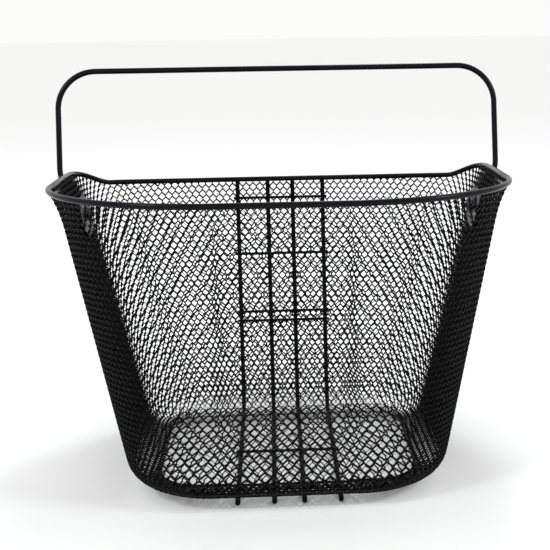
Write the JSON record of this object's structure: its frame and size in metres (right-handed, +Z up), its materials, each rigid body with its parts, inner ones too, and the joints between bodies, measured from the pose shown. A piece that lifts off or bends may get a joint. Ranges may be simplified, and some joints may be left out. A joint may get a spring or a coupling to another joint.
{
  "type": "bicycle handlebar basket",
  "caption": "Tapered black steel-mesh handlebar basket with a rounded front, dipped rear rim, rear and floor wire grid, and a swinging wire bail handle.",
  "frame": {"origin": "middle of the bounding box's footprint, on the surface the basket stands on (underside of the long wires)", "axes": "+Z up; +X from the rider's left to right, across the width; +Y towards the bicycle, out of the flat rear wall"},
  "size_m": [0.3566, 0.2558, 0.2994],
  "materials": {
    "black_enamel": "gloss powder coat",
    "mesh_enamel": "semi-gloss dipped coat",
    "black_zinc": "black zinc plated"
  },
  "bodies": {
    "basket": {"rim_wire": "black_enamel", "wall_mesh": "mesh_enamel", "floor_mesh": "mesh_enamel", "long_wire_left_outer": "black_enamel", "long_wire_left_inner": "black_enamel", "long_wire_right_inner": "black_enamel", "long_wire_right_outer": "black_enamel", "cross_wire_top": "black_enamel", "cross_wire_upper": "black_enamel", "cross_wire_middle": "black_enamel", "cross_wire_lower": "black_enamel", "cross_wire_floor": "black_enamel", "pivot_plate_left": "black_enamel", "pivot_plate_right": "black_enamel", "pivot_washer_left": "black_zinc", "pivot_washer_right": "black_zinc"},
    "bail": {"bail_handle": "black_enamel", "retaining_cap_left": "black_zinc", "retaining_cap_right": "black_zinc"}
  },
  "joints": [
    {"name": "bail_swing", "type": "hinge", "parent": "basket", "child": "bail", "pos_m": [0, 0.058, 0.186], "axis": [1, 0, 0], "range_deg": [-130, 80]}
  ]
}
